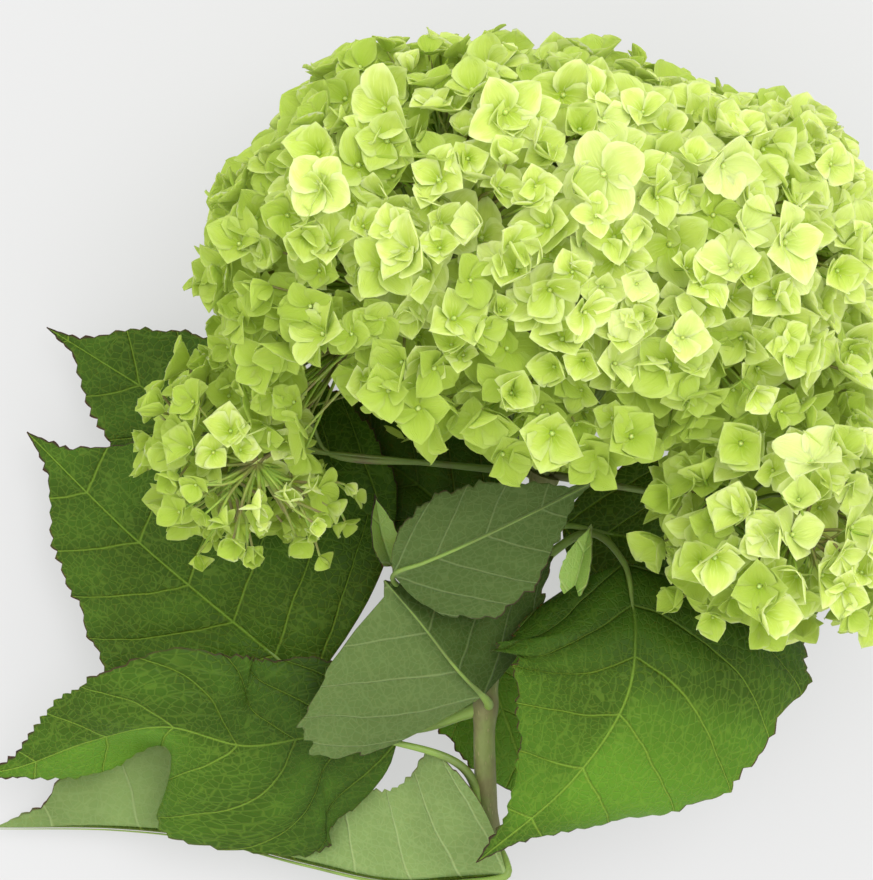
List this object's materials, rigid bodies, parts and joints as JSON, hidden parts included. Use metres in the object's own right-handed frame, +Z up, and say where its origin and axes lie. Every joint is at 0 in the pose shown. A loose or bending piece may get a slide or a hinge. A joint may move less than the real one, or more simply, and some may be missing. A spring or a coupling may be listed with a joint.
{
  "type": "cut hydrangea",
  "caption": "Cut mophead hydrangea lying on its side: lime-green domed flower head with smaller side heads, woody stem and broad toothed leaves.",
  "frame": {"origin": "On the surface that the flower lies on, under the middle of its bounding box.", "axes": "+Y along the stem from its cut end towards the flower head, +X to the right seen from above, +Z up from the surface."},
  "size_m": [0.295, 0.3658, 0.1609],
  "materials": {
    "petals": "satin",
    "leaves": "satin",
    "young_leaves": "satin",
    "flower_stalks": "satin",
    "stem": "matte"
  },
  "bodies": {
    "root": {"florets_head_01": "petals", "florets_head_02": "petals", "florets_head_03": "petals", "florets_head_04": "petals", "florets_head_05": "petals", "florets_head_06": "petals", "florets_head_07": "petals", "florets_head_08": "petals", "florets_head_09": "petals", "florets_head_10": "petals", "florets_head_11": "petals", "florets_head_12": "petals", "florets_head_13": "petals", "florets_head_14": "petals", "florets_head_15": "petals", "florets_head_16": "petals", "florets_head_17": "petals", "florets_head_18": "petals", "florets_head_19": "petals", "florets_head_20": "petals", "florets_head_21": "petals", "florets_head_22": "petals", "florets_head_23": "petals", "florets_head_24": "petals", "florets_head_25": "petals", "florets_head_26": "petals", "florets_head_27": "petals", "florets_left_01": "petals", "florets_left_02": "petals", "florets_left_03": "petals", "florets_left_04": "petals", "florets_left_05": "petals", "florets_right_01": "petals", "florets_right_02": "petals", "florets_right_03": "petals", "florets_right_04": "petals", "florets_right_05": "petals", "florets_right_06": "petals", "flower_stalk_1": "flower_stalks", "flower_stalk_2": "flower_stalks", "flower_stalk_3": "flower_stalks", "flower_stalk_4": "flower_stalks", "flower_stalk_5": "flower_stalks", "flower_stalk_left": "flower_stalks", "flower_stalk_right": "flower_stalks", "leaf_back_left": "leaves", "leaf_back_middle": "leaves", "leaf_behind_stem": "leaves", "leaf_bottom": "leaves", "leaf_front_right": "leaves", "leaf_left": "leaves", "leaf_lower_left": "leaves", "leaf_middle": "leaves", "leaf_right": "leaves", "leaf_upper_middle": "leaves", "stem": "stem", "young_leaf_left": "young_leaves", "young_leaf_right": "young_leaves"}
  },
  "joints": []
}
